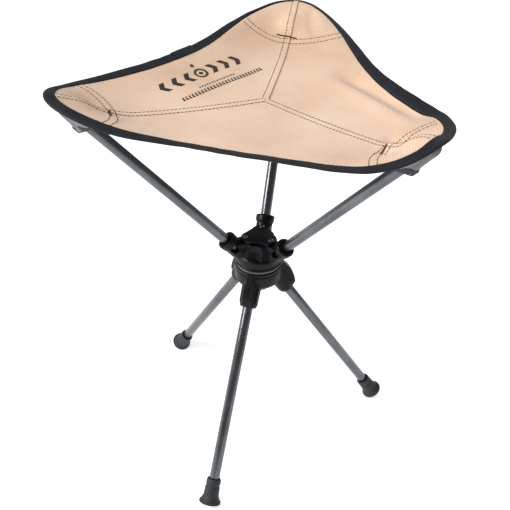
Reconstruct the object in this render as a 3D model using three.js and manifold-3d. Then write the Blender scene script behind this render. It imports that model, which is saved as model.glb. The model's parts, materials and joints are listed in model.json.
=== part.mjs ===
// A three leg stool for camping: three tube legs plug into a moulded lower hub, three tube poles
// plug into an upper hub that swivels on it, and a sewn cloth seat hangs from the pole tips.
// Millimetres, +Z up. The origin is on the floor, at the centre of the whole stool's outline.
import * as THREE from 'three';
import { mergeVertices } from 'three/addons/utils/BufferGeometryUtils.js';
import Module from 'manifold-3d';

const wasm = await Module();
wasm.setup();

// ---- driving dimensions: millimetres, and degrees for angles ----
const GAP = 0.3; // clearance between pieces that touch
const TUBE_RADIUS = 5.5;
const TUBE_BORE_RADIUS = 4.6;
const SOCKET_BORE_RADIUS = 5.85;

// A leg or pole is measured along its own axis from the point where it meets the swivel axis.
const LEG = {
  azimuths: [-97.8, 22.2, 142.2],
  tilt: 32.9, // from straight down
  apexZ: 238,
  socketFloor: 26,
  mouth: 60,
  end: 276.8, // sole of the foot
};
const POLE = {
  azimuths: [90, 210, 330],
  tilt: 40.4, // from straight up
  apexZ: 218.2,
  socketFloor: 26,
  mouth: 56,
  end: 278, // top of the tip cap
};

// Hub stack on the swivel axis, from the bottom up.
const HUB_RADIUS = 25;
const LOWER_HUB_BOTTOM_Z = 196;
const LOWER_DRUM_Z = 207;
const LOWER_HUB_TOP_Z = 225;
const UPPER_HUB_BOTTOM_Z = 228;
const UPPER_DRUM_TOP_Z = 241;
const UPPER_HUB_TOP_Z = 256;
const TOP_PLATE_Z = 259;
const RECESS_FLOOR_Z = 247.5; // floor of the recess that hides the bolt head
const RECESS_RADIUS = 10.5;
const NUT_POCKET_Z = 206; // roof of the pocket that holds the lock nut
const NUT_POCKET_RADIUS = 8.8;
const BOLT_RADIUS = 4;
const BOLT_HOLE_RADIUS = 4.3;
const BUSH_RADIUS = 7;
const NUT_RADIUS = 7.5; // corner radius of a 13 mm hexagon
const WASHER_RADIUS = 8.2;
const WASHER_THICKNESS = 1.5;
const BOLT_HEAD_HEIGHT = 5.5;
const NUT_HEIGHT = 7;
const SCREW_CIRCLE_RADIUS = 15.5;
const SCREW_HEAD_RADIUS = 3;
const SCREW_RADIUS = 1.45;

const SLIDE_RING_RADIUS = 23.8;
const PLATE_RADIUS = 16.6; // the top plate's mean radius
const PLATE_LOBE = 3.4; // how much further out its lobes reach, and its hollows reach in
const SCREW_END_Z = 250.5;
const ABOVE_HUB_Z = 270; // where cutting tools that come in from above start

// Rubber feet
const FOOT_RADIUS = 7.8;
const FOOT_FLANGE_RADIUS = 11.75;
const FOOT_FLANGE_THICKNESS = 3;
const FOOT_LENGTH = 27.5;
const SOLE_CUT = 1.2; // how much of the flange's low edge the floor facet takes off

// Pole tip caps and shock cords
const TIP_RADIUS = 6.5;
const TIP_LENGTH = 19.5;
const PLUG_RADIUS = 4.3;
const PLUG_HOLE_RADIUS = 2;
const PLUG_LENGTH = 6;
const FERRULE_LENGTH = 12;
const CORD_RADIUS = 1.5;
const KNOT_RADIUS = 2.6;
const CORD_WELL_RADIUS = 3.2; // blind well under each socket floor, for the cord's knot
const CORD_WELL_DEPTH = 6;

// Cloth seat. Angles are counted from the nearest corner, and 60 is the middle of a side.
const RIM_MID_RADIUS = 116;
const RIM_LOBE = 79; // how much further out the corners reach
const LOBE_SPREAD = 28;
const SEAT_LOW_Z = 406;
const EDGE_LIFT = 12; // the taut edge above the sagging middle
const CORNER_LIFT = 22; // the corners above the edge
const LIFT_SPREAD = 18;
const FLAT_SHARE = 0.6; // share of the way to a corner that stays flat
const CLOTH_THICKNESS = 1.6;
const BINDING_WIDTH = 5;
const BINDING_THICKNESS = 3.4;
const POCKET_SPREAD = 22; // the pocket is sewn to the rim this far each side of its corner
const POCKET_DEPTH = 42; // the mouth's distance from the pole's end, along the pole
const POCKET_OFFSET = 8.5; // from the pole's axis to the mouth
const POCKET_BULGE = 6; // room for the round tip
const POCKET_THICKNESS = 1.2;
const HEM_WIDTH = 4.5;
const HEM_THICKNESS = 2;

const TUBE_SIDES = 14;
const SMALL_SIDES = 10;
const SOCKET_SIDES = 16;
const HUB_SIDES = 30;
const PANEL_STEPS = 18; // around each third of the rim, for its panel and its binding
const BIG = 200; // size of a cutting block that is larger than what it cuts

// ---- materials ----
const anodised = new THREE.MeshStandardMaterial({ color: 0x55585c, roughness: 0.32, metalness: 0.9 });
const blackPlastic = new THREE.MeshStandardMaterial({ color: 0x18191b, roughness: 0.55 });
const whitePlastic = new THREE.MeshStandardMaterial({ color: 0xd8d6cf, roughness: 0.5 });
const steel = new THREE.MeshStandardMaterial({ color: 0x9a9c9f, roughness: 0.35, metalness: 1 });
const rubber = new THREE.MeshStandardMaterial({ color: 0x2b2f34, roughness: 0.8 });
const cordElastic = new THREE.MeshStandardMaterial({ color: 0x26272a, roughness: 0.9 });
const cloth = new THREE.MeshStandardMaterial({ color: 0xe9cbb0, roughness: 0.85 });
const tape = new THREE.MeshStandardMaterial({ color: 0x1b1e22, roughness: 0.7 });

// ---- shape helpers ----
const radians = THREE.MathUtils.degToRad;
const vec = (x, y, z) => new THREE.Vector3(x, y, z);
const smooth = (x) => THREE.MathUtils.smoothstep(x, 0, 1);

// Signed volume of an indexed closed mesh.
function volume(geometry) {
  const at = geometry.attributes.position;
  const corner = [vec(), vec(), vec()];
  let sum = 0;
  for (let i = 0; i < geometry.index.count; i += 3) {
    corner.forEach((point, k) => point.fromBufferAttribute(at, geometry.index.getX(i + k)));
    sum += corner[0].dot(corner[1].cross(corner[2])) / 6;
  }
  return sum;
}

// The same shape with shared vertices, no empty triangles and its faces pointing out.
function closed(geometry) {
  const bare = geometry.clone();
  bare.deleteAttribute('normal');
  bare.deleteAttribute('uv');
  const merged = mergeVertices(bare, 1e-4);
  const index = [];
  for (let i = 0; i < merged.index.count; i += 3) {
    const triangle = [0, 1, 2].map((k) => merged.index.getX(i + k));
    if (new Set(triangle).size === 3) index.push(...triangle);
  }
  merged.setIndex(index);
  if (volume(merged) < 0) merged.setIndex(index.reverse());
  return merged;
}

function toSolid(geometry) {
  const merged = closed(geometry);
  const vertProperties = Float32Array.from(merged.attributes.position.array);
  const triVerts = Uint32Array.from(merged.index.array);
  return new wasm.Manifold(new wasm.Mesh({ numProp: 3, vertProperties, triVerts }));
}

function toGeometry(solid) {
  const mesh = solid.getMesh();
  const geometry = new THREE.BufferGeometry();
  geometry.setAttribute('position', new THREE.BufferAttribute(mesh.vertProperties, 3));
  geometry.setIndex(new THREE.BufferAttribute(mesh.triVerts, 1));
  return geometry;
}

const join = (geometries) => geometries.map(toSolid).reduce((whole, piece) => whole.add(piece));
const cut = (solid, geometries) => geometries.map(toSolid).reduce((rest, tool) => rest.subtract(tool), solid);

// A turned shape about +Z. Profile points are [radius, height].
function turned(profile, sides = SMALL_SIDES) {
  const points = profile.map(([radius, height]) => new THREE.Vector2(radius, height));
  return new THREE.LatheGeometry(points, sides).rotateX(Math.PI / 2);
}

const rod = (radius, low, high, sides) => turned([[0, low], [radius, low], [radius, high], [0, high]], sides);

function tube(inner, outer, low, high, sides) {
  return turned([[inner, low], [outer, low], [outer, high], [inner, high], [inner, low]], sides);
}

// A flat outline in the XZ plane given as [x, z] points, as thick as asked across Y.
function plate(outline, thickness) {
  const shape = new THREE.Shape(outline.map(([x, z]) => new THREE.Vector2(x, z)));
  const solid = new THREE.ExtrudeGeometry(shape, { depth: thickness, bevelEnabled: false });
  return solid.translate(0, 0, -thickness / 2).rotateX(Math.PI / 2);
}

// Joins rings of points into one skin, either end to end or closed by flat ends.
function skin(rings, endless) {
  const sides = rings[0].length;
  const positions = rings.flat().flatMap((point) => point.toArray());
  const index = [];
  const spans = endless ? rings.length : rings.length - 1;
  for (let i = 0; i < spans; i += 1) {
    const near = i * sides;
    const far = ((i + 1) % rings.length) * sides;
    for (let k = 0; k < sides; k += 1) {
      const next = (k + 1) % sides;
      index.push(near + k, far + k, near + next, near + next, far + k, far + next);
    }
  }
  for (let k = 1; k < sides - 1 && !endless; k += 1) {
    const last = (rings.length - 1) * sides;
    index.push(0, k, k + 1, last, last + k + 1, last + k);
  }
  const geometry = new THREE.BufferGeometry();
  geometry.setAttribute('position', new THREE.Float32BufferAttribute(positions, 3));
  geometry.setIndex(index);
  return geometry;
}

// A cloth slab: upper(u, v) is its top face, and lower(u, v) its underside, for u and v from 0 to 1.
function slab(upper, lower, uSteps, vSteps) {
  const rings = [];
  for (let i = 0; i <= uSteps; i += 1) {
    const across = Array.from({ length: vSteps + 1 }, (_, k) => k / vSteps);
    const top = across.map((v) => upper(i / uSteps, v));
    const under = across.map((v) => lower(i / uSteps, v));
    rings.push([...top, ...under.reverse()]);
  }
  const geometry = skin(rings, true);
  // The ring's closing span is replaced by two end strips.
  const sides = rings[0].length;
  const index = Array.from(geometry.index.array).slice(0, uSteps * sides * 6);
  for (const [first, flip] of [[0, false], [uSteps * sides, true]]) {
    for (let k = 0; k < vSteps; k += 1) {
      const [a, b, c, d] = [k, k + 1, sides - 2 - k, sides - 1 - k].map((offset) => first + offset);
      index.push(...(flip ? [a, c, b, a, d, c] : [a, b, c, a, c, d]));
    }
  }
  geometry.setIndex(index);
  return geometry;
}

// ---- legs and poles: their own axis, and the frame that carries a shape onto it ----
const legDirection = vec(Math.sin(radians(LEG.tilt)), 0, -Math.cos(radians(LEG.tilt)));
const poleDirection = vec(Math.sin(radians(POLE.tilt)), 0, Math.cos(radians(POLE.tilt)));
const poleOutward = vec(Math.cos(radians(POLE.tilt)), 0, -Math.sin(radians(POLE.tilt)));

// Turns a shape made about +Z onto the leg or pole that points along azimuth 0.
function onAxis(geometry, direction, apexZ) {
  const turn = new THREE.Quaternion().setFromUnitVectors(vec(0, 0, 1), direction);
  return geometry.applyQuaternion(turn).translate(0, 0, apexZ);
}

const onLeg = (geometry) => onAxis(geometry, legDirection, LEG.apexZ);
const onPole = (geometry) => onAxis(geometry, poleDirection, POLE.apexZ);
const polePoint = (distance) => poleDirection.clone().multiplyScalar(distance).add(vec(0, 0, POLE.apexZ));
const turnedTo = (geometry, azimuth) => geometry.clone().rotateZ(radians(azimuth));

function roundTube(member, endGap) {
  return tube(TUBE_BORE_RADIUS, TUBE_RADIUS, member.socketFloor + GAP, member.end - endGap, TUBE_SIDES);
}

function ferrule(member) {
  const start = member.socketFloor + 1;
  return tube(PLUG_HOLE_RADIUS, PLUG_RADIUS, start, start + FERRULE_LENGTH);
}

const endPlug = (end) => tube(PLUG_HOLE_RADIUS, PLUG_RADIUS, end - PLUG_LENGTH, end);

// Elastic cord with a knot at each end: one in the hub's well, one behind the end plug.
function shockCord(from, to) {
  const knot = 2 * KNOT_RADIUS;
  return turned([
    [0, from],
    [KNOT_RADIUS, from + KNOT_RADIUS * 0.6],
    [KNOT_RADIUS, from + knot * 0.8],
    [CORD_RADIUS, from + knot],
    [CORD_RADIUS, to - knot],
    [KNOT_RADIUS, to - knot * 0.8],
    [KNOT_RADIUS, to - KNOT_RADIUS * 0.6],
    [0, to],
  ], 8);
}

// ---- lower hub ----
const SOCKET_RADIUS = 9.8;
const SOCKET_ROOT_RADIUS = 10.6;
const SOCKET_CHAMFER = 3;
const SOCKET_ROOT = 24; // where a socket starts, inside the hub

function legSocket() {
  return onLeg(turned([
    [0, SOCKET_ROOT],
    [SOCKET_ROOT_RADIUS, SOCKET_ROOT],
    [SOCKET_RADIUS, LEG.mouth - SOCKET_CHAMFER],
    [SOCKET_RADIUS - 1, LEG.mouth],
    [0, LEG.mouth],
  ], SOCKET_SIDES));
}

// Rounded fin that runs from the drum's top edge down the outside of a leg socket.
function socketFin() {
  const root = [18, LOWER_HUB_TOP_Z - 1];
  const toe = [38, 191.5];
  const curve = new THREE.QuadraticBezierCurve(
    new THREE.Vector2(24.5, LOWER_HUB_TOP_Z - 1),
    new THREE.Vector2(39.5, 214),
    new THREE.Vector2(41, 195.5),
  );
  const outer = curve.getPoints(6).map((point) => [point.x, point.y]);
  return plate([root, ...outer, toe, [20, 205]], 8.5);
}

function legSocketBore() {
  const wellFloor = LEG.socketFloor - CORD_WELL_DEPTH;
  return onLeg(turned([
    [0, wellFloor],
    [CORD_WELL_RADIUS, wellFloor],
    [CORD_WELL_RADIUS, LEG.socketFloor],
    [SOCKET_BORE_RADIUS, LEG.socketFloor],
    [SOCKET_BORE_RADIUS, LEG.mouth + 5],
    [0, LEG.mouth + 5],
  ], TUBE_SIDES));
}

function lowerHub() {
  const drum = turned([
    [0, LOWER_HUB_BOTTOM_Z],
    [14, LOWER_HUB_BOTTOM_Z],
    [23.5, LOWER_DRUM_Z - 1],
    [HUB_RADIUS, LOWER_DRUM_Z + 1.5],
    [HUB_RADIUS, LOWER_HUB_TOP_Z - 0.8],
    [HUB_RADIUS - 0.8, LOWER_HUB_TOP_Z],
    [0, LOWER_HUB_TOP_Z],
  ], HUB_SIDES);
  const arms = LEG.azimuths.flatMap((azimuth) => [
    turnedTo(legSocket(), azimuth),
    turnedTo(socketFin(), azimuth),
  ]);
  return toGeometry(cut(join([drum, ...arms]), [
    ...LEG.azimuths.map((azimuth) => turnedTo(legSocketBore(), azimuth)),
    rod(BOLT_HOLE_RADIUS, LOWER_HUB_BOTTOM_Z - 5, LOWER_HUB_TOP_Z + 5, 16),
    rod(NUT_POCKET_RADIUS, LOWER_HUB_BOTTOM_Z - 5, NUT_POCKET_Z, 20),
  ]));
}

// ---- pivot stack ----
const slideRing = () => tube(
  BOLT_HOLE_RADIUS + 0.5,
  SLIDE_RING_RADIUS,
  LOWER_HUB_TOP_Z + GAP,
  UPPER_HUB_BOTTOM_Z - GAP,
  HUB_SIDES,
);
const pivotBush = () => tube(BOLT_HOLE_RADIUS, BUSH_RADIUS, UPPER_HUB_BOTTOM_Z + GAP, RECESS_FLOOR_Z, 16);
const washer = (low) => tube(BOLT_HOLE_RADIUS, WASHER_RADIUS, low, low + WASHER_THICKNESS, 20);
const TOP_WASHER_Z = RECESS_FLOOR_Z + GAP;
const BOLT_HEAD_Z = TOP_WASHER_Z + WASHER_THICKNESS + GAP;
const BOTTOM_WASHER_Z = NUT_POCKET_Z - GAP - WASHER_THICKNESS;
const NUT_TOP_Z = BOTTOM_WASHER_Z - GAP;

function pivotBolt() {
  const head = rod(NUT_RADIUS, BOLT_HEAD_Z, BOLT_HEAD_Z + BOLT_HEAD_HEIGHT, 6);
  const shank = rod(BOLT_RADIUS, NUT_TOP_Z - NUT_HEIGHT, BOLT_HEAD_Z + 1, 16);
  return toGeometry(join([head, shank]));
}


function lockNut() {
  const blank = toSolid(rod(NUT_RADIUS, NUT_TOP_Z - NUT_HEIGHT, NUT_TOP_Z, 6));
  return toGeometry(cut(blank, [rod(BOLT_HOLE_RADIUS, NUT_TOP_Z - BIG, NUT_TOP_Z + BIG, 16)]));
}

// ---- upper hub ----
const BARREL_RADIUS = 9.1;
const COLLAR_RADIUS = 9.9;
const COLLAR_LENGTH = 7;
const WINDOW_LENGTH = 9; // side window behind the collar, which shows the pole
const WINDOW_HEIGHT = 7;
const SCALLOP_RADIUS = 14;
const SCALLOP_DISTANCE = 31;

const BARREL_ROOT = 22; // where a barrel starts, inside the hub

function poleSocket() {
  const collar = POLE.mouth - COLLAR_LENGTH;
  return onPole(turned([
    [0, BARREL_ROOT],
    [BARREL_RADIUS, BARREL_ROOT],
    [BARREL_RADIUS, collar - 1],
    [COLLAR_RADIUS, collar],
    [COLLAR_RADIUS, POLE.mouth - 1],
    [COLLAR_RADIUS - 1, POLE.mouth],
    [0, POLE.mouth],
  ], SOCKET_SIDES));
}

// Buttress under and behind a pole socket.
function poleButtress() {
  const low = UPPER_DRUM_TOP_Z - 2;
  return plate([[0, low], [24, low], [33, 252], [31, UPPER_HUB_TOP_Z], [0, UPPER_HUB_TOP_Z]], 15);
}

function poleSocketBore() {
  const wellFloor = POLE.socketFloor - CORD_WELL_DEPTH;
  return onPole(turned([
    [0, wellFloor],
    [CORD_WELL_RADIUS, wellFloor],
    [CORD_WELL_RADIUS, POLE.socketFloor],
    [SOCKET_BORE_RADIUS, POLE.socketFloor],
    [SOCKET_BORE_RADIUS, POLE.mouth + 5],
    [0, POLE.mouth + 5],
  ], TUBE_SIDES));
}

function poleWindow() {
  const middle = POLE.mouth - COLLAR_LENGTH - WINDOW_LENGTH / 2;
  return onPole(new THREE.BoxGeometry(WINDOW_HEIGHT, 40, WINDOW_LENGTH).translate(0, 0, middle));
}

function scallop(azimuth) {
  const low = UPPER_DRUM_TOP_Z;
  const tool = turned([
    [0, low],
    [SCALLOP_RADIUS - 3, low],
    [SCALLOP_RADIUS, low + 8],
    [SCALLOP_RADIUS, ABOVE_HUB_Z],
    [0, ABOVE_HUB_Z],
  ], SOCKET_SIDES);
  return tool.translate(SCALLOP_DISTANCE, 0, 0).rotateZ(radians(azimuth));
}

const screwHole = (azimuth) => rod(SCREW_RADIUS + GAP, SCREW_END_Z - 0.5, ABOVE_HUB_Z, 10)
  .translate(SCREW_CIRCLE_RADIUS, 0, 0)
  .rotateZ(radians(azimuth));

function upperHub() {
  const drum = turned([
    [0, UPPER_HUB_BOTTOM_Z],
    [HUB_RADIUS - 1, UPPER_HUB_BOTTOM_Z],
    [HUB_RADIUS, UPPER_HUB_BOTTOM_Z + 1],
    [HUB_RADIUS, UPPER_DRUM_TOP_Z - 1],
    [HUB_RADIUS - 1.5, UPPER_DRUM_TOP_Z + 0.5],
    [18, UPPER_HUB_TOP_Z],
    [0, UPPER_HUB_TOP_Z],
  ], HUB_SIDES);
  const arms = POLE.azimuths.flatMap((azimuth) => [
    turnedTo(poleSocket(), azimuth),
    turnedTo(poleButtress(), azimuth),
  ]);
  return toGeometry(cut(join([drum, ...arms]), [
    ...POLE.azimuths.map((azimuth) => scallop(azimuth + 60)),
    ...POLE.azimuths.map((azimuth) => turnedTo(poleWindow(), azimuth)),
    ...POLE.azimuths.map((azimuth) => turnedTo(poleSocketBore(), azimuth)),
    ...POLE.azimuths.map(screwHole),
    rod(BUSH_RADIUS + GAP, UPPER_HUB_BOTTOM_Z - 5, UPPER_HUB_TOP_Z, 16),
    rod(RECESS_RADIUS, RECESS_FLOOR_Z - GAP, UPPER_HUB_TOP_Z + 5, 20),
  ]));
}

// Three-lobed plate that covers the bolt, with a screw in each lobe.
function topPlate() {
  const outline = new THREE.Shape();
  const steps = 36;
  for (let k = 0; k < steps; k += 1) {
    const angle = (k / steps) * 2 * Math.PI;
    const lobe = Math.cos(3 * (angle - radians(POLE.azimuths[0])));
    const radius = PLATE_RADIUS + PLATE_LOBE * lobe;
    outline[k ? 'lineTo' : 'moveTo'](radius * Math.cos(angle), radius * Math.sin(angle));
  }
  const depth = TOP_PLATE_Z - UPPER_HUB_TOP_Z - GAP;
  const blank = new THREE.ExtrudeGeometry(outline, { depth, bevelEnabled: false });
  const clearance = onPole(rod(COLLAR_RADIUS + GAP, 20, POLE.mouth + 2, 20));
  return toGeometry(cut(toSolid(blank.translate(0, 0, UPPER_HUB_TOP_Z + GAP)), [
    ...POLE.azimuths.map((azimuth) => turnedTo(clearance, azimuth)),
    ...POLE.azimuths.map(screwHole),
  ]));
}

function plateScrew() {
  const seat = TOP_PLATE_Z + GAP;
  return turned([
    [0, SCREW_END_Z],
    [SCREW_RADIUS, SCREW_END_Z],
    [SCREW_RADIUS, seat],
    [SCREW_HEAD_RADIUS, seat],
    [SCREW_HEAD_RADIUS * 0.85, seat + 1.2],
    [0, seat + 1.8],
  ], 12).translate(SCREW_CIRCLE_RADIUS, 0, 0);
}

// ---- feet and tips ----
function rubberFoot() {
  const top = LEG.end - FOOT_LENGTH;
  const boreEnd = LEG.end - 4.5;
  const body = onLeg(turned([
    [SOCKET_BORE_RADIUS, top],
    [FOOT_RADIUS - 0.8, top],
    [FOOT_RADIUS, top + 1.5],
    [FOOT_RADIUS + 0.6, LEG.end - 8],
    [FOOT_FLANGE_RADIUS - 0.8, LEG.end - FOOT_FLANGE_THICKNESS],
    [FOOT_FLANGE_RADIUS, LEG.end - FOOT_FLANGE_THICKNESS + 1],
    [FOOT_FLANGE_RADIUS, LEG.end],
    [0, LEG.end],
    [0, boreEnd],
    [SOCKET_BORE_RADIUS, boreEnd],
    [SOCKET_BORE_RADIUS, top],
  ], 20));
  const soleZ = LEG.apexZ - LEG.end * Math.cos(radians(LEG.tilt));
  const lowest = soleZ - FOOT_FLANGE_RADIUS * Math.sin(radians(LEG.tilt));
  const ground = new THREE.BoxGeometry(BIG, BIG, BIG).translate(BIG * 0.75, 0, lowest + SOLE_CUT - BIG / 2);
  return toGeometry(cut(toSolid(body), [ground]));
}

function poleTip() {
  const centre = POLE.end - TIP_RADIUS;
  const start = POLE.end - TIP_LENGTH;
  const dome = [30, 55, 75].map((angle) => [
    TIP_RADIUS * Math.cos(radians(angle)),
    centre + TIP_RADIUS * Math.sin(radians(angle)),
  ]);
  return turned([
    [SOCKET_BORE_RADIUS, start],
    [TIP_RADIUS, start],
    [TIP_RADIUS, centre],
    ...dome,
    [0, POLE.end],
    [0, centre + GAP],
    [SOCKET_BORE_RADIUS, centre + GAP],
    [SOCKET_BORE_RADIUS, start],
  ], TUBE_SIDES);
}

// ---- cloth seat, about the swivel axis; angles in degrees from the nearest corner ----
const bell = (angle, spread) => Math.exp(-((angle / spread) ** 2));
const rimRadius = (angle) => RIM_MID_RADIUS + RIM_LOBE * bell(angle, LOBE_SPREAD);

// Height of the cloth's top face: share is 0 at the middle of the seat and 1 at the rim.
function seatHeight(share, angle) {
  const climb = smooth((share - FLAT_SHARE) / (1 - FLAT_SHARE));
  return SEAT_LOW_Z + EDGE_LIFT * share ** 2 + CORNER_LIFT * bell(angle, LIFT_SPREAD) * climb;
}

// The point of the cloth's top face at a radius and at an angle from the corner on azimuth 0.
function seatPoint(radius, angle) {
  const height = seatHeight(radius / rimRadius(angle), angle);
  return vec(radius * Math.cos(radians(angle)), radius * Math.sin(radians(angle)), height);
}

// One of three panels. It lies between the seams on azimuths 0 and 120 before it is turned.
function seatPanel() {
  const innerRadius = 2;
  const place = (u, v, drop) => {
    const fromSeam = 120 * v;
    const cornerAngle = fromSeam > 60 ? fromSeam - 120 : fromSeam;
    const radius = THREE.MathUtils.lerp(innerRadius, rimRadius(cornerAngle) - BINDING_WIDTH, u);
    const seam = THREE.MathUtils.radToDeg(GAP / 2 / radius);
    const azimuth = THREE.MathUtils.lerp(seam, 120 - seam, v);
    return seatPoint(radius, cornerAngle)
      .setX(radius * Math.cos(radians(azimuth)))
      .setY(radius * Math.sin(radians(azimuth)))
      .add(vec(0, 0, -drop));
  };
  return slab((u, v) => place(u, v, 0), (u, v) => place(u, v, CLOTH_THICKNESS), 8, PANEL_STEPS);
}

// Tape around the whole rim, as a flattened loop just outside the panels.
function seatBinding() {
  const steps = 3 * PANEL_STEPS;
  const half = (BINDING_WIDTH - GAP) / 2;
  const rings = Array.from({ length: steps }, (_, k) => {
    const azimuth = (k / steps) * 360;
    const angle = ((azimuth + 60) % 120) - 60;
    const across = rimRadius(angle) - half;
    return [0, 1, 2, 3, 4, 5].map((side) => {
      const turn = (side / 6) * 2 * Math.PI;
      const radius = across + half * Math.cos(turn);
      const height = seatHeight(1, angle) - CLOTH_THICKNESS / 2 + (BINDING_THICKNESS / 2) * Math.sin(turn);
      return vec(radius * Math.cos(radians(azimuth)), radius * Math.sin(radians(azimuth)), height);
    });
  });
  return skin(rings, true);
}

// Sewn edge and open mouth of the pocket under a corner; side runs from -1 to 1 across it.
function pocketRim(side) {
  const angle = side * POCKET_SPREAD;
  const point = seatPoint(rimRadius(angle) - BINDING_WIDTH - 1, angle);
  return point.add(vec(0, 0, -CLOTH_THICKNESS - 2 * GAP));
}

function pocketMouth(side) {
  const middle = polePoint(POLE.end - POCKET_DEPTH).addScaledVector(poleOutward, POCKET_OFFSET);
  const end = pocketRim(Math.sign(side)).multiply(vec(0.97, 0.97, 1)).add(vec(0, 0, -1));
  return middle.lerp(end, Math.abs(side) ** 1.3);
}

function pocketPoint(u, v) {
  const side = 2 * v - 1;
  const bulge = POCKET_BULGE * Math.sin(Math.PI * u ** 0.6) * (1 - side ** 2);
  return pocketRim(side).lerp(pocketMouth(side), u).addScaledVector(poleOutward, bulge);
}

function cornerPocket() {
  const outward = poleOutward.clone().multiplyScalar(POCKET_THICKNESS);
  return slab(pocketPoint, (u, v) => pocketPoint(u, v).add(outward), 7, 12);
}

// Tape folded over the pocket's mouth.
function pocketHem() {
  const steps = 14;
  const reach = 0.86;
  const rings = Array.from({ length: steps + 1 }, (_, k) => {
    const side = reach * ((2 * k) / steps - 1);
    const edge = pocketMouth(side).addScaledVector(poleOutward, POCKET_THICKNESS / 2);
    return [[0, -1], [1, -1], [1, 1], [0, 1]].map(([along, over]) => edge.clone()
      .addScaledVector(poleDirection, -GAP * 3 - along * HEM_WIDTH)
      .addScaledVector(poleOutward, (over * HEM_THICKNESS) / 2));
  });
  return skin(rings, false);
}

// ---- assembly ----
const stool = new THREE.Group();

function add(name, geometry, material, azimuth = 0) {
  const mesh = new THREE.Mesh(closed(geometry), material);
  mesh.geometry.computeVertexNormals();
  mesh.name = name;
  mesh.rotation.z = radians(azimuth);
  stool.add(mesh);
}

add('lower_hub', lowerHub(), blackPlastic);
add('slide_ring', slideRing(), whitePlastic);
add('pivot_bolt', pivotBolt(), steel);
add('top_washer', washer(TOP_WASHER_Z), steel);
add('bottom_washer', washer(BOTTOM_WASHER_Z), steel);
add('lock_nut', lockNut(), steel);

LEG.azimuths.forEach((azimuth, i) => {
  const plugEnd = LEG.end - 12;
  add(`leg_tube_${i + 1}`, onLeg(roundTube(LEG, 4.5 + GAP)), anodised, azimuth);
  add(`leg_ferrule_${i + 1}`, onLeg(ferrule(LEG)), blackPlastic, azimuth);
  add(`leg_plug_${i + 1}`, onLeg(endPlug(plugEnd)), blackPlastic, azimuth);
  add(`leg_cord_${i + 1}`, onLeg(shockCord(LEG.socketFloor - 5.5, plugEnd + 6)), cordElastic, azimuth);
  add(`rubber_foot_${i + 1}`, rubberFoot(), rubber, azimuth);
});

add('upper_hub', upperHub(), blackPlastic);
add('pivot_bush', pivotBush(), whitePlastic);
add('hub_top_plate', topPlate(), blackPlastic);

POLE.azimuths.forEach((azimuth, i) => {
  const plugEnd = POLE.end - 14;
  add(`plate_screw_${i + 1}`, plateScrew(), steel, azimuth);
  add(`pole_tube_${i + 1}`, onPole(roundTube(POLE, TIP_RADIUS)), anodised, azimuth);
  add(`pole_ferrule_${i + 1}`, onPole(ferrule(POLE)), blackPlastic, azimuth);
  add(`pole_plug_${i + 1}`, onPole(endPlug(plugEnd)), blackPlastic, azimuth);
  add(`pole_cord_${i + 1}`, onPole(shockCord(POLE.socketFloor - 5.5, plugEnd + 6)), cordElastic, azimuth);
  add(`pole_tip_${i + 1}`, onPole(poleTip()), blackPlastic, azimuth);
  add(`seat_panel_${i + 1}`, seatPanel(), cloth, azimuth);
  add(`corner_pocket_${i + 1}`, cornerPocket(), cloth, azimuth);
  add(`pocket_hem_${i + 1}`, pocketHem(), tape, azimuth);
});

add('seat_binding', seatBinding(), tape, POLE.azimuths[0]);

// Stand the stool on the floor, with the origin under the centre of its outline.
const outline = new THREE.Box3().setFromObject(stool, true);
const centre = outline.getCenter(vec());
stool.position.set(-centre.x, -centre.y, -outline.min.z);

export default stool;
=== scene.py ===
"""Looks of a three leg camping stool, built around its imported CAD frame.

Shapes are worked out in design units: millimetres about the swivel axis, with z = 0 a little below
the floor, as the CAD source has them. put() moves them into the row frame in metres.
"""

import json
import math

import bmesh
import bpy
import numpy as np
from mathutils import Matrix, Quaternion, Vector


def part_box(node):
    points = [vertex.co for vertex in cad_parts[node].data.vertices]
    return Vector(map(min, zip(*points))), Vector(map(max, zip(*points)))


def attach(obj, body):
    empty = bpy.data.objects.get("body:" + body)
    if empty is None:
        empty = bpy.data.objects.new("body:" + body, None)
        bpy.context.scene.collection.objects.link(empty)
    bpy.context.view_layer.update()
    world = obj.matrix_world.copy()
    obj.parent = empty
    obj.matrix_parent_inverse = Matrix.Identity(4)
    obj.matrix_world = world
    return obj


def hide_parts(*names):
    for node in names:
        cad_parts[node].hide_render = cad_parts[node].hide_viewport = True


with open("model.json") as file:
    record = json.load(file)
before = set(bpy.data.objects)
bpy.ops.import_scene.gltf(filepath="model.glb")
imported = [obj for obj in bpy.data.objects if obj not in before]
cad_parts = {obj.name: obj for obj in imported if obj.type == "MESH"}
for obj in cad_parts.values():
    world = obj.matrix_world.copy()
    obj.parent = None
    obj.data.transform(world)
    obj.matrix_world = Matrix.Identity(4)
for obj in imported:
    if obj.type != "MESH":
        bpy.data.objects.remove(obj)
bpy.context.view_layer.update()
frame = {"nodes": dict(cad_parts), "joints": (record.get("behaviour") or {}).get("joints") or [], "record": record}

# ---- the frame, and driving dimensions in millimetres and degrees ----
MM = 0.001
LOWER_HUB_TOP = 225
swivel = next(joint for joint in frame["joints"] if joint["name"] == "seat_swivel")
ORIGIN = Vector((*swivel["pos_m"][:2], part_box("lower_hub")[1].z - LOWER_HUB_TOP * MM))

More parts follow.
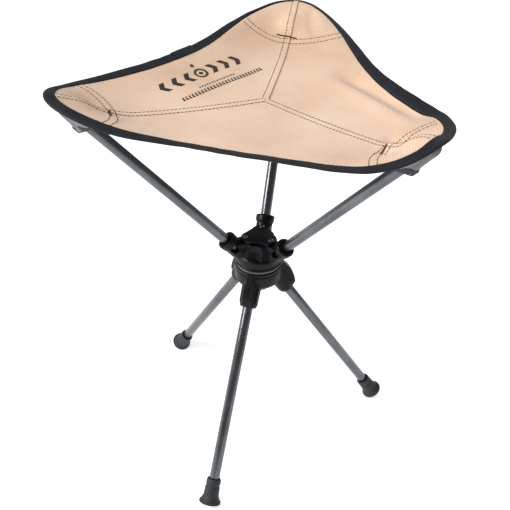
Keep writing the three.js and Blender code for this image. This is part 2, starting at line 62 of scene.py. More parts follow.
TUBE_RADIUS = 5.5
TUBE_BORE = 4.6
SOCKET_BORE = 5.85
LEG_AZIMUTHS = (-97.8, 22.2, 142.2)
LEG_TILT = 32.9
LEG_APEX = 238
LEG_MOUTH = 60
LEG_END = 276.8
POLE_AZIMUTHS = (90, 210, 330)
POLE_TILT = 40.4
POLE_APEX = 218.2
POLE_MOUTH = 56
POLE_END = 278
HUB_RADIUS = 25
HUB_DETAIL = 0.6  # radius of the rounded edges on the hubs' drums
TIP_RADIUS = 6.5
SOCKET_FLOOR = 26  # along a tube's axis from the apex; mouths and ends are counted the same way
GAP = 0.3  # between a tube's end and its socket's floor
COLLAR = 7  # length of the collar at a pole socket's mouth
SCREW_CIRCLE = 15.5
ABOVE_HUB = 270  # where cutters that come in from above start
PLATE_LOW = 256.3
PLATE_HIGH = 259
UP = np.array([0, 0, 1.0])

# Each corner of the seat: how far its rim reaches from the swivel axis, how high that is, the share
# of the way out where the cloth starts to climb, and how far the cloth sags next to the tape. A
# negative sag is a cloth that stands higher just inside the tape than at it.
CORNERS = (
    {"azimuth": 90, "reach": 201.7, "top": 437, "flat": 0.53, "sag": -6.5},
    {"azimuth": 210, "reach": 194.5, "top": 438.4, "flat": 0.60, "sag": -2},
    {"azimuth": 330, "reach": 186.2, "top": 431.5, "flat": 0.69, "sag": -1},
)
# Each side, from one corner to the next: the middle of its rim, its height at both ends, how far
# along the rim each corner's lobe and its climb carry on, in degrees, and the sag.
SIDES = (
    {"middle": 116.2, "heights": (422.5, 422.5), "lobes": (29.4, 29.6), "climbs": (22, 15), "sag": -0.5},
    {"middle": 115.7, "heights": (416.2, 414.4), "lobes": (23.5, 30.7), "climbs": (17, 13), "sag": 0},
    {"middle": 121.8, "heights": (415.4, 415.4), "lobes": (37.5, 32), "climbs": (25, 16.5), "sag": 1.8},
)
SPAN = 120  # degrees from one corner to the next
SEAT_LOW = 403
LEVEL_BLEND = 14  # degrees over which two sides' heights meet at a corner
SAG_BLEND = 24  # degrees along the rim over which a corner's sag carries on
SAG_WIDTH = 11
TENT = 44  # how wide the cloth's tent over a pole's tip is; wider with a larger value
FARTHEST_RIM = 260  # from the junction, more than any place on the rim
JUNCTION = (-0.5, 15.7)  # where the three seams meet
CLOTH = 1.0  # cloth thickness
SEAM_HALF = 3.2  # from a seam to each of its two stitch lines
TAPE_WIDTH = 9.5
TAPE = 0.7  # tape thickness
LAP = (137, 151)  # azimuths between which the tape's end laps over its start

# ---- the camera ----
CAMERA_PLACE = (115.4, -654.9, 713.7)
CAMERA_AIM = (0.3, -23.4, 250)
CAMERA_ROLL = 1.33
CAMERA_LENS = 54.72


def put(points):
    """Design millimetres to row-frame metres."""
    return np.asarray(points, float).reshape(-1, 3) * MM + np.array(ORIGIN)


def add_object(name, data):
    """A new object in the scene that shows a mesh, a light or a camera."""
    made = bpy.data.objects.new(name, data)
    bpy.context.scene.collection.objects.link(made)
    return made


def make_camera():
    camera = add_object("camera", bpy.data.cameras.new("camera"))
    place, aim = (Vector(p) for p in put([CAMERA_PLACE, CAMERA_AIM]))
    roll = Quaternion((0, 0, 1), math.radians(CAMERA_ROLL))
    camera.location = place
    camera.rotation_mode = "QUATERNION"
    camera.rotation_quaternion = (aim - place).to_track_quat("-Z", "Y") @ roll
    camera.data.lens = CAMERA_LENS
    camera.data.sensor_width = 36
    camera.data.clip_start, camera.data.clip_end = 0.05, 50
    bpy.context.scene.camera = camera


make_camera()


# ---- materials ----
class Nodes:
    """A new material's node tree, with short ways to add and link nodes."""

    def __init__(self, name):
        self.material = bpy.data.materials.new(name)
        self.material.use_nodes = True
        self.tree = self.material.node_tree
        self.shader = self.tree.nodes["Principled BSDF"]
        self.place = self.add("ShaderNodeTexCoord").outputs["Object"]

    def add(self, kind, inputs=None, **settings):
        node = self.tree.nodes.new(kind)
        for key, value in settings.items():
            setattr(node, key, value)
        for key, value in (inputs or {}).items():
            self.feed(node.inputs[key], value)
        return node

    def feed(self, socket, value):
        if isinstance(value, bpy.types.NodeSocket):
            self.tree.links.new(value, socket)
        else:
            socket.default_value = value

    def set(self, **values):
        for key, value in values.items():
            self.feed(self.shader.inputs[key.replace("_", " ")], value)

    def math(self, operation, a, b=0.0, c=0.0):
        node = self.add("ShaderNodeMath", operation=operation)
        for socket, value in zip(node.inputs, (a, b, c)):
            self.feed(socket, value)
        return node.outputs[0]

    def noise(self, scale, detail=3, vector=None, roughness=0.5):
        inputs = {"Vector": vector or self.place, "Scale": scale, "Detail": detail, "Roughness": roughness}
        return self.add("ShaderNodeTexNoise", inputs).outputs[0]

    def ramp(self, value, stops):
        node = self.add("ShaderNodeValToRGB", {"Fac": value})
        while len(node.color_ramp.elements) < len(stops):
            node.color_ramp.elements.new(0.5)
        for element, (position, colour) in zip(node.color_ramp.elements, stops):
            element.position = position
            element.color = (*colour, 1)
        return node.outputs[0]

    def bump(self, height, strength, distance):
        inputs = {"Height": height, "Strength": strength, "Distance": distance}
        self.set(Normal=self.add("ShaderNodeBump", inputs).outputs[0])


def grey(value):
    return (value, value, value)


def weave_height(nodes, pitch, turn):
    """Height of an over and under weave of that pitch in metres, turned about Z by degrees."""
    inputs = {"Vector": nodes.place, "Rotation": (0, 0, math.radians(turn)), "Scale": grey(math.pi / pitch)}
    turned_place = nodes.add("ShaderNodeMapping", inputs).outputs[0]
    parts = nodes.add("ShaderNodeSeparateXYZ", {"Vector": turned_place})
    warp = nodes.math("SINE", parts.outputs["X"])
    weft = nodes.math("SINE", parts.outputs["Y"])
    return nodes.math("MULTIPLY", warp, weft)


def cloth_material():
    nodes = Nodes("tan_oxford_cloth")
    weave = weave_height(nodes, 0.0015, 45)
    slubs = nodes.noise(900, 2)
    broad = nodes.noise(14, 3)
    fine = nodes.math("MULTIPLY_ADD", weave, 0.22, nodes.math("MULTIPLY_ADD", slubs, 0.35, broad))
    colour = nodes.ramp(fine, [
        (0.30, (0.52, 0.33, 0.21)),
        (0.62, (0.70, 0.485, 0.34)),
        (1.0, (0.80, 0.60, 0.455)),
    ])
    nodes.set(Base_Color=colour, Roughness=0.72, Sheen_Weight=0.25, Sheen_Roughness=0.45)
    nodes.bump(nodes.math("MULTIPLY_ADD", slubs, 0.5, weave), 0.35, 0.00018)
    return nodes.material


def pocket_material():
    nodes = Nodes("grey_coated_cloth")
    weave = weave_height(nodes, 0.0009, 30)
    clouds = nodes.noise(80, 3)
    colour = nodes.ramp(clouds, [(0.3, (0.10, 0.098, 0.108)), (0.7, (0.15, 0.147, 0.158))])
    nodes.set(Base_Color=colour, Roughness=0.55)
    nodes.bump(weave, 0.3, 0.00012)
    return nodes.material


def tape_material():
    nodes = Nodes("black_binding_tape")
    weave = weave_height(nodes, 0.0008, 20)
    worn = nodes.noise(60, 4)
    colour = nodes.ramp(worn, [(0.3, (0.005, 0.006, 0.009)), (0.7, (0.011, 0.012, 0.018))])
    nodes.set(Base_Color=colour, Roughness=0.65, Specular_IOR_Level=0.3)
    nodes.bump(weave, 0.3, 0.00015)
    return nodes.material


def tube_material():
    nodes = Nodes("gunmetal_anodised_tube")
    stretched = nodes.add("ShaderNodeMapping", {"Vector": nodes.place, "Scale": (1, 1, 0.05)}).outputs[0]
    streaks = nodes.noise(900, 2, stretched)
    clouds = nodes.noise(35, 3)
    mixed = nodes.math("MULTIPLY_ADD", streaks, 0.35, clouds)
    colour = nodes.ramp(mixed, [(0.4, (0.085, 0.092, 0.1)), (1.0, (0.15, 0.158, 0.168))])
    rough = nodes.math("MULTIPLY_ADD", streaks, 0.14, 0.2)
    nodes.set(Base_Color=colour, Metallic=0.95, Roughness=rough)
    nodes.bump(streaks, 0.06, 0.0001)
    return nodes.material


def plastic_material(name, dark, light, roughness):
    nodes = Nodes(name)
    clouds = nodes.noise(45, 3)
    speckle = nodes.noise(2600, 2)
    colour = nodes.ramp(clouds, [(0.3, dark), (0.75, light)])
    rough = nodes.math("MULTIPLY_ADD", clouds, 0.18, roughness - 0.09)
    nodes.set(Base_Color=colour, Roughness=rough, Specular_IOR_Level=0.16)
    nodes.bump(speckle, 0.25, 0.0001)
    return nodes.material


def rubber_material():
    nodes = Nodes("foot_rubber")
    dust = nodes.noise(70, 5)
    speckle = nodes.noise(1500, 3)
    colour = nodes.ramp(dust, [(0.35, (0.010, 0.013, 0.017)), (0.8, (0.030, 0.036, 0.042))])
    nodes.set(Base_Color=colour, Roughness=nodes.math("MULTIPLY_ADD", dust, 0.2, 0.55))
    nodes.bump(speckle, 0.3, 0.00015)
    return nodes.material


def steel_material():
    nodes = Nodes("black_zinc_steel")
    clouds = nodes.noise(200, 4)
    colour = nodes.ramp(clouds, [(0.35, (0.10, 0.10, 0.11)), (0.7, (0.20, 0.20, 0.215))])
    nodes.set(Base_Color=colour, Metallic=1.0, Roughness=nodes.math("MULTIPLY_ADD", clouds, 0.2, 0.25))
    nodes.bump(nodes.noise(3000, 2), 0.1, 0.00005)
    return nodes.material


def thread_material(name, dark, light):
    nodes = Nodes(name)
    twist = nodes.noise(2400, 2)
    nodes.set(Base_Color=nodes.ramp(twist, [(0.35, dark), (0.65, light)]), Roughness=0.6)
    nodes.bump(twist, 0.4, 0.0001)
    return nodes.material


def floor_material():
    nodes = Nodes("pale_studio_floor")
    nodes.set(Base_Color=(0.9, 0.9, 0.9, 1), Roughness=0.9)
    nodes.set(Emission_Color=(1, 1, 1, 1), Emission_Strength=0.6)
    return nodes.material


CLOTH_LOOK = cloth_material()
TAPE_LOOK = tape_material()
TUBE_LOOK = tube_material()
HUB_LOOK = plastic_material("black_nylon", (0.003, 0.003, 0.0045), (0.007, 0.007, 0.010), 0.38)
POCKET_LOOK = pocket_material()
INSERT_LOOK = plastic_material("black_insert_plastic", grey(0.008), grey(0.02), 0.5)
RING_LOOK = plastic_material("grey_bearing_plastic", grey(0.10), grey(0.16), 0.45)
RUBBER_LOOK = rubber_material()
STEEL_LOOK = steel_material()
CORD_LOOK = tape_material()
SEAM_THREAD = thread_material("dark_brown_thread", (0.035, 0.016, 0.009), (0.085, 0.042, 0.024))
BLACK_THREAD = thread_material("black_thread", grey(0.012), grey(0.03))
INK_LOOK = thread_material("brown_black_print", (0.022, 0.013, 0.010), (0.035, 0.022, 0.017))


# ---- making meshes ----
def piece(name, points, faces, material, body, nodes=(), slot=None, sharp=38):
    """A new mesh piece from design points. It rides on a body and stands for CAD nodes."""
    mesh = bpy.data.meshes.new(name)
    mesh.from_pydata(put(points).tolist(), [], faces)
    return finish_piece(add_object(name, mesh), material, body, nodes, sharp)


def face_outwards(mesh):
    shape = bmesh.new()
    shape.from_mesh(mesh)
    bmesh.ops.recalc_face_normals(shape, faces=shape.faces)
    shape.to_mesh(mesh)
    shape.free()


def finish_piece(shell, material, body, nodes=(), sharp=38):
    mesh = shell.data
    face_outwards(mesh)
    mesh.shade_smooth()
    mesh.set_sharp_from_angle(angle=math.radians(sharp))
    mesh.materials.clear()
    mesh.materials.append(material)
    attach(shell, body)
    if nodes:
        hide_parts(*nodes)
    return shell


def direction(azimuth, tilt, down=False):
    """Unit vector that leans by tilt from straight up, or from straight down, towards azimuth."""
    a, t = math.radians(azimuth), math.radians(tilt)
    rise = -math.cos(t) if down else math.cos(t)
    return np.array([math.sin(t) * math.cos(a), math.sin(t) * math.sin(a), rise])


def around(azimuth, radius):
    """A place in plan at a radius from the swivel axis."""
    a = math.radians(azimuth)
    return radius * math.cos(a), radius * math.sin(a)


def level_left(azimuth):
    x, y = around(azimuth, 1)
    return np.array([-y, x, 0])


def tube_frame(azimuth, tilt, down=False):
    """A leaning tube's axis, the level direction to its left, and the one square to both."""
    axis, side = direction(azimuth, tilt, down), level_left(azimuth)
    return axis, side, np.cross(side, axis)


def bend(start, pull, end, steps):
    """Points along a quadratic curve."""
    start, pull, end = (np.array(p, float) for p in (start, pull, end))
    shares = [k / steps for k in range(steps + 1)]
    return [tuple((1 - t) ** 2 * start + 2 * t * (1 - t) * pull + t * t * end) for t in shares]


def rounded(profile, radius, steps=4):
    """The same profile with each inner corner turned into a small curve."""
    made = [profile[0]]
    for before, corner, after in zip(profile, profile[1:], profile[2:]):
        before, corner, after = (np.array(p, float) for p in (before, corner, after))
        to_before, to_after = before - corner, after - corner
        reach = min(radius, np.linalg.norm(to_before) * 0.45, np.linalg.norm(to_after) * 0.45)
        start = corner + to_before / np.linalg.norm(to_before) * reach
        end = corner + to_after / np.linalg.norm(to_after) * reach
        made += bend(start, corner, end, steps)
    return [*made, profile[-1]]


def turned(profile, apex=(0, 0, 0), axis=(0, 0, 1), sides=64):
    """A profile of (radius, distance) spun about an axis. It starts and ends on the axis, or closes."""
    axis = np.array(axis, float)
    across = np.cross(axis, (0, 0, 1) if abs(axis[2]) < 0.9 else (0, 1, 0))
    across /= np.linalg.norm(across)
    other = np.cross(axis, across)
    hollow = profile[0] == profile[-1]
    rows = profile[:-1] if hollow else profile
    points, rings = [], []
    for radius, distance in rows:
        centre = np.array(apex, float) + axis * distance
        if radius < 1e-6:
            rings.append([len(points)] * sides)
            points.append(centre)
            continue
        rings.append(list(range(len(points), len(points) + sides)))
        for k in range(sides):
            turn = 2 * math.pi * k / sides
            points.append(centre + radius * (math.cos(turn) * across + math.sin(turn) * other))
    pairs = list(zip(rings, rings[1:])) + ([(rings[-1], rings[0])] if hollow else [])
    faces = []
    for near, far in pairs:
        for k in range(sides):
            n = (k + 1) % sides
            loop = [near[k], near[n], far[n], far[k]]
            unique = [p for i, p in enumerate(loop) if p != loop[i - 1]]
            if len(unique) > 2:
                faces.append(unique)
    return np.array(points), faces


def leg_turned(profile, azimuth, sides=64):
    return turned(profile, (0, 0, LEG_APEX), direction(azimuth, LEG_TILT, down=True), sides)


def pole_turned(profile, azimuth, sides=64):
    return turned(profile, (0, 0, POLE_APEX), direction(azimuth, POLE_TILT), sides)


def extruded(outline, normal, thickness):
    """A flat outline of 3D points made as thick as asked, half to each side."""
    outline = np.array(outline, float)
    shift = np.array(normal, float) * thickness / 2
    count = len(outline)
    points = np.vstack([outline - shift, outline + shift])
    faces = [list(range(count))[::-1], list(range(count, 2 * count))]
    faces += [[k, (k + 1) % count, count + (k + 1) % count, count + k] for k in range(count)]
    return points, faces


def radial_plate(outline, azimuth, thickness):
    """An outline of (radius, height) points as a plate that stands along an azimuth."""
    points = [(*around(azimuth, r), z) for r, z in outline]
    return extruded(points, level_left(azimuth), thickness)


def joined(parts):
    points, faces, start = [], [], 0
    for part_points, part_faces in parts:
        points.append(np.asarray(part_points))
        faces += [[start + i for i in face] for face in part_faces]
        start += len(part_points)
    return np.vstack(points), faces


def loose(name, part):
    """A helper object in design units, for modifiers."""
    mesh = bpy.data.meshes.new(name)
    mesh.from_pydata(np.asarray(part[0]).tolist(), [], part[1])
    face_outwards(mesh)
    return add_object(name, mesh)


def with_booleans(shape, operation, solver, solids):
    """Adds a boolean modifier for each solid, and returns the helper objects."""
    helpers = [loose("helper", solid) for solid in solids]
    for helper in helpers:
        cut = shape.modifiers.new("cut", "BOOLEAN")
        cut.operation, cut.solver, cut.object = operation, solver, helper
    return helpers


def applied(shape, helpers):
    """Applies an object's modifiers, removes its helpers and moves its mesh into the row frame."""
    bpy.context.view_layer.update()
    depsgraph = bpy.context.evaluated_depsgraph_get()
    result = bpy.data.meshes.new_from_object(shape.evaluated_get(depsgraph))
    shape.modifiers.clear()
    shape.data = result
    for helper in helpers:
        bpy.data.objects.remove(helper)
    flat = np.zeros(len(result.vertices) * 3)
    result.vertices.foreach_get("co", flat)
    result.vertices.foreach_set("co", put(flat).ravel())
    result.update()


def moulded(name, solids, cutters, body, nodes):
    """Solids joined and cut, then given the small radii of a moulding."""
    shape = loose(name, solids[0])
    helpers = with_booleans(shape, "UNION", "MANIFOLD", solids[1:])
    helpers += with_booleans(shape, "DIFFERENCE", "MANIFOLD", cutters)
    remesh = shape.modifiers.new("remesh", "REMESH")
    remesh.mode, remesh.voxel_size = "VOXEL", 0.5
    soften = shape.modifiers.new("soften", "SMOOTH")
    soften.factor, soften.iterations = 0.5, 3
    fewer = shape.modifiers.new("fewer", "DECIMATE")
    fewer.ratio = 0.35
    applied(shape, helpers)
    return finish_piece(shape, HUB_LOOK, body, nodes, sharp=60)


# ---- tubes, tips and feet ----
def tube_profile(start, end):
    outline = [
        (TUBE_BORE, (start + end) / 2),
        (TUBE_BORE, start),
        (TUBE_RADIUS, start),
        (TUBE_RADIUS, end),
        (TUBE_BORE, end),
        (TUBE_BORE, (start + end) / 2),
    ]
    return rounded(outline, 0.35, 2)


def make_tubes():
    for spin, kind, azimuths, end in (
        (leg_turned, "leg", LEG_AZIMUTHS, LEG_END - 4.8),
        (pole_turned, "pole", POLE_AZIMUTHS, POLE_END - 6.5),
    ):
        for i, azimuth in enumerate(azimuths, 1):
            name = f"{kind}_tube_{i}"
            body = f"leg_{i}" if kind == "leg" else "seat_frame"
            shape = spin(tube_profile(SOCKET_FLOOR + GAP, end), azimuth, 48)
            piece(f"{name}_skin", *shape, TUBE_LOOK, body, [name], "anodised_tube")


def make_tips():
    radius, length = TIP_RADIUS, 19.5
    centre = POLE_END - radius
    dome = [
        (radius * math.cos(math.radians(a)), centre + radius * math.sin(math.radians(a)))
        for a in range(0, 90, 10)
    ]
    profile = [
        (SOCKET_BORE, POLE_END - length),
        (radius - 0.2, POLE_END - length),
        (radius, POLE_END - length + 0.4),
        *dome,
        (0, POLE_END),
    ]
    inner = [(0, centre + 0.3), (SOCKET_BORE, centre + 0.3), (SOCKET_BORE, POLE_END - length)]
    for i, azimuth in enumerate(POLE_AZIMUTHS, 1):
        shape = pole_turned([*profile, *inner], azimuth, 40)
        piece(f"pole_tip_{i}_skin", *shape, INSERT_LOOK, "seat_frame", [f"pole_tip_{i}"], "tip_plastic")


def make_feet():
    top, flange = LEG_END - 27.5, 11.75
    profile = rounded([
        (SOCKET_BORE, LEG_END - 15),
        (SOCKET_BORE, top),
        (7.0, top),
        (7.8, top + 1.8),
        (7.9, top + 6),
        (7.3, top + 6.8),
        (7.3, top + 8.2),
        (7.9, top + 9),
        (8.4, LEG_END - 8),
        (10.6, LEG_END - 3.4),
        (flange, LEG_END - 2.6),
        (flange, LEG_END - 0.5),
        (flange - 1.2, LEG_END),
        (0.01, LEG_END),
        (0.01, LEG_END - 4.5),
        (SOCKET_BORE, LEG_END - 4.5),
        (SOCKET_BORE, LEG_END - 15),
    ], 0.7, 3)
    profile[-1] = profile[0]
    floor = -ORIGIN.z / MM
    for i, azimuth in enumerate(LEG_AZIMUTHS, 1):
        foot = piece(
            f"rubber_foot_{i}_skin", *leg_turned(profile, azimuth), RUBBER_LOOK, f"leg_{i}",
            [f"rubber_foot_{i}"], "foot_rubber",
        )
        cut_at_floor(foot, floor)


def cut_at_floor(foot, floor):
    """Takes off what would be below the floor and closes the flat that is left."""
    shape = bmesh.new()
    shape.from_mesh(foot.data)
    everything = [*shape.verts, *shape.edges, *shape.faces]
    ground = put([(0, 0, floor)])[0]
    result = bmesh.ops.bisect_plane(
        shape, geom=everything, dist=1e-7, plane_co=ground, plane_no=(0, 0, 1), clear_inner=True
    )
    edges = [e for e in result["geom_cut"] if isinstance(e, bmesh.types.BMEdge)]
    bmesh.ops.holes_fill(shape, edges=edges, sides=0)
    shape.to_mesh(foot.data)
    shape.free()
    foot.data.set_sharp_from_angle(angle=math.radians(38))


# ---- hubs ----
def lower_hub_solids():
    drum = turned(rounded([
        (0, 196), (13.5, 196), (15, 198), (23.3, 205.5), (HUB_RADIUS, 208.5),
        (HUB_RADIUS, 220.2), (24.2, 220.8), (24.2, 222), (HUB_RADIUS, 222.6),
        (HUB_RADIUS, LOWER_HUB_TOP), (0, LOWER_HUB_TOP),
    ], HUB_DETAIL, 2), sides=96)
    solids = [drum]
    for azimuth in LEG_AZIMUTHS:
        solids.append(leg_turned([
            (0, 24), (10.6, 24), (9.8, LEG_MOUTH - 3.5), (8.6, LEG_MOUTH), (0, LEG_MOUTH),
        ], azimuth, 40))
        solids.append(socket_fin(azimuth))
        solids += [socket_rib(azimuth, turn) for turn in (-60, -28, 28, 60)]
    return solids


def socket_fin(azimuth):
    """Rounded fin from the drum's top edge down the outside of a leg socket."""
    curve = bend((24.5, 224), (39.5, 214), (41, 195.5), 12)
    return radial_plate([(18, 224), *curve, (38, 191.5), (20, 205)], azimuth, 8.5)


def socket_rib(azimuth, turn):
    """A low rib along a leg socket, so many degrees round from its outer side."""
    axis, side, inner = tube_frame(azimuth, LEG_TILT, down=True)
    a = math.radians(turn)
    out = math.cos(a) * -inner + math.sin(a) * side
    apex = np.array([0, 0, LEG_APEX])
    section = ((30, 6), (30, 10.9), (54, 10.6), (57.5, 9), (57.5, 6))
    outline = [apex + axis * s + out * r for s, r in section]
    return extruded(outline, np.cross(axis, out), 1.8)


def socket_bore(spin, azimuth, mouth):
    """The tube's bore, and the small well under its floor for the cord's knot."""
    return spin([
        (0, SOCKET_FLOOR - 6), (3.2, SOCKET_FLOOR - 6), (3.2, SOCKET_FLOOR), (SOCKET_BORE, SOCKET_FLOOR),
        (SOCKET_BORE, mouth - 1), (SOCKET_BORE + 1, mouth + 0.2), (SOCKET_BORE + 1, mouth + 6),
        (0, mouth + 6),
    ], azimuth, 40)


def make_lower_hub():
    cutters = [socket_bore(leg_turned, azimuth, LEG_MOUTH) for azimuth in LEG_AZIMUTHS]
    nut_recess = [(0, 190), (8.8, 190), (8.8, 206), (4.3, 206), (4.3, 230), (0, 230)]
    cutters.append(turned(nut_recess, sides=40))
    moulded("lower_hub_skin", lower_hub_solids(), cutters, "base", ["lower_hub"])


def upper_hub_solids():
    drum = turned(rounded([
        (0, 228), (24.4, 228), (25.4, 228.9), (25.4, 230.4), (24.3, 231), (24.3, 232),
        (HUB_RADIUS, 232.6), (HUB_RADIUS, 239.6), (23.3, 241.5), (18, 256), (0, 256),
    ], HUB_DETAIL, 2), sides=96)
    solids = [drum]
    collar = POLE_MOUTH - COLLAR
    for azimuth in POLE_AZIMUTHS:
        solids.append(pole_turned([
            (0, 22), (9.1, 22), (9.1, collar - 1.5), (9.9, collar),
            (10.1, POLE_MOUTH - 1.2), (9.2, POLE_MOUTH), (0, POLE_MOUTH),
        ], azimuth, 48))
        outline = [(0, 239), (24, 239), (33, 252), (31, 256), (0, 256)]
        solids.append(radial_plate(outline, azimuth, 15))
    return solids


def upper_hub_cutters():
    cutters = []
    for azimuth in POLE_AZIMUTHS:
        scallop = [(0, 241), (11, 241), (14, 249), (14, ABOVE_HUB), (0, ABOVE_HUB)]
        cutters.append(turned(scallop, (*around(azimuth + 60, 31), 0), sides=48))
        cutters.append(socket_bore(pole_turned, azimuth, POLE_MOUTH))
        cutters.append(side_window(azimuth))
        screw_hole = [(0, 250), (1.75, 250), (1.75, ABOVE_HUB), (0, ABOVE_HUB)]
        cutters.append(turned(screw_hole, (*around(azimuth, SCREW_CIRCLE), 0), sides=20))
    bolt_hole = [(0, 220), (7.3, 220), (7.3, 247.2), (10.5, 247.2), (10.5, 262), (0, 262)]
    cutters.append(turned(bolt_hole, sides=48))
    return cutters


def side_window(azimuth):
    """A slot straight through a pole socket behind its collar."""
    axis, side, out = tube_frame(azimuth, POLE_TILT)
    middle = np.array([0, 0, POLE_APEX]) + axis * 44.5
    section = ((-4.5, -2), (-3, -3.5), (4.5, -3.5), (4.5, 3.5), (-3, 3.5), (-4.5, 2))
    return extruded([middle + axis * s + out * r for s, r in section], side, 40)


def make_upper_hub():
    solids, cutters = upper_hub_solids(), upper_hub_cutters()
    moulded("upper_hub_skin", solids, cutters, "seat_frame", ["upper_hub"])


def make_top_plate():
    steps = 120
    outline = []
    for k in range(steps):
        a = 2 * math.pi * k / steps
        radius = 16.6 + 3.2 * math.cos(3 * (a - math.pi / 2))
        outline.append((radius * math.cos(a), radius * math.sin(a), (PLATE_LOW + PLATE_HIGH) / 2))
    shape = loose("hub_top_plate_skin", extruded(outline, (0, 0, 1), PLATE_HIGH - PLATE_LOW))
    clearance = [(0, 20), (10.3, 20), (10.3, 60), (0, 60)]
    sockets = [pole_turned(clearance, azimuth, 40) for azimuth in POLE_AZIMUTHS]
    helpers = with_booleans(shape, "DIFFERENCE", "EXACT", sockets)
    edge = shape.modifiers.new("edge", "BEVEL")
    edge.width, edge.segments, edge.limit_method = 0.5, 3, "ANGLE"
    applied(shape, helpers)
    finish_piece(shape, HUB_LOOK, "seat_frame", ["hub_top_plate"])


def make_screws():
    """Pan head screws with a cross recess."""
    seat = PLATE_HIGH + 0.1
    profile = rounded([
        (0, 250.5), (1.45, 250.5), (1.45, seat), (3, seat), (2.9, seat + 1.1), (1.6, seat + 1.8),
        (0, seat + 1.9),
    ], 0.4, 3)
    for i, azimuth in enumerate(POLE_AZIMUTHS, 1):
        centre = np.array([*around(azimuth, SCREW_CIRCLE), 0])
        bars = []
        for turn in (20, 110):
            along = np.array([*around(turn, 1), 0])
            section = ((-1.7, 2.5), (-1.5, 1), (0, 0.6), (1.5, 1), (1.7, 2.5))
            outline = [centre + along * x + np.array([0, 0, seat + z]) for x, z in section]
            bars.append(extruded(outline, level_left(turn), 0.6))
        shape = loose(f"plate_screw_{i}_skin", turned(profile, centre, sides=32))
        applied(shape, with_booleans(shape, "DIFFERENCE", "EXACT", bars))
        finish_piece(shape, STEEL_LOOK, "seat_frame", [f"plate_screw_{i}"])


def make_slide_ring():
    bore, radius, low, high = 10, 23.8, LOWER_HUB_TOP + GAP, 227.7
    profile = [(bore, 226.5), (bore, low), (radius, low), (radius, high), (bore, high), (bore, 226.5)]
    shape = turned(rounded(profile, 0.4, 3), sides=96)
    piece("slide_ring_skin", *shape, RING_LOOK, "base", ["slide_ring"], "bearing_plastic")


# ---- the cloth seat: where it is ----
def bell(angle, spread):
    return np.exp(-((angle / spread) ** 2))


def smooth(x):
    x = np.clip(x, 0, 1)
    return x * x * (3 - 2 * x)


def sides_at(azimuth):
    """For each side: its number and facts, which azimuths are on it, and how far past its start."""
    turn = np.mod(np.asarray(azimuth, float) - CORNERS[0]["azimuth"], 360)
    for k, side in enumerate(SIDES):
        from_start = turn - SPAN * k
        yield k, side, (from_start >= 0) & (from_start < SPAN), from_start


def side_facts(azimuth):
    """For each azimuth: its rim's radius, its side's height, and each corner's climb at the rim."""
    radius, level = np.zeros(np.shape(azimuth)), np.zeros(np.shape(azimuth))
    climbs = [np.zeros(np.shape(azimuth)) for _ in CORNERS]
    for k, side, here, from_start in sides_at(azimuth):
        reach = np.full(np.shape(azimuth), float(side["middle"]))
        start, end = side["heights"]
        own = start + (end - start) * np.clip(from_start / SPAN, 0, 1)
        before, after = SIDES[k - 1]["heights"][1], SIDES[(k + 1) % 3]["heights"][0]
        own += (before - start) / 2 * bell(from_start, LEVEL_BLEND)
        own += (after - end) / 2 * bell(SPAN - from_start, LEVEL_BLEND)
        for corner, angle, end in ((k, from_start, 0), ((k + 1) % 3, SPAN - from_start, 1)):
            reach += (CORNERS[corner]["reach"] - side["middle"]) * bell(angle, side["lobes"][end])
            climb = (CORNERS[corner]["top"] - own) * bell(angle, side["climbs"][end])
            climbs[corner] = np.where(here, climb, climbs[corner])
        radius = np.where(here, reach, radius)
        level = np.where(here, own, level)
    return radius, level, climbs


def rim_sag(azimuth):
    sag = np.zeros(np.shape(azimuth))
    for k, side, here, from_start in sides_at(azimuth):
        start, end = CORNERS[k]["sag"], CORNERS[(k + 1) % 3]["sag"]
        own = side["sag"] + (start - side["sag"]) * bell(from_start, SAG_BLEND)
        own = own + (end - side["sag"]) * bell(SPAN - from_start, SAG_BLEND)
        sag = np.where(here, own, sag)
    return sag


def soft_max(a, b, blend):
    return (a + b + np.sqrt((a - b) ** 2 + blend**2)) / 2


def over_tips(x, y, height):
    """Lifts the cloth over the round end of each pole's tip."""
    radius = TIP_RADIUS + CLOTH + 0.9
    for azimuth in POLE_AZIMUTHS:
        centre = np.array([0, 0, POLE_APEX]) + direction(azimuth, POLE_TILT) * (POLE_END - TIP_RADIUS)
        away = np.hypot(x - centre[0], y - centre[1])
        tent = centre[2] + radius - away**2 / TENT
        height = soft_max(height, tent, 2)
    return height


def base_height(x, y):
    azimuth = np.degrees(np.arctan2(y, x))
    radius, level, climbs = side_facts(azimuth)
    share = np.hypot(x, y) / radius
    height = SEAT_LOW + (level - SEAT_LOW) * share**2
    for corner, climb in zip(CORNERS, climbs):
        height = height + climb * smooth((share - corner["flat"]) / (1 - corner["flat"]))
    inside = np.maximum(radius - np.hypot(x, y), 0) / SAG_WIDTH
    return height - rim_sag(azimuth) * inside * np.exp(1 - inside)


def along_line(x, y, start, end):
    """Along a line from start to end: the share of its length, the distance to it and how far left."""
    start, end = np.array(start, float), np.array(end, float)
    length = np.linalg.norm(end - start)
    ahead = (end - start) / length
    along = (x - start[0]) * ahead[0] + (y - start[1]) * ahead[1]
    left = -(x - start[0]) * ahead[1] + (y - start[1]) * ahead[0]
    beyond = along - np.clip(along, 0, length)
    return along / length, np.hypot(left, beyond), left


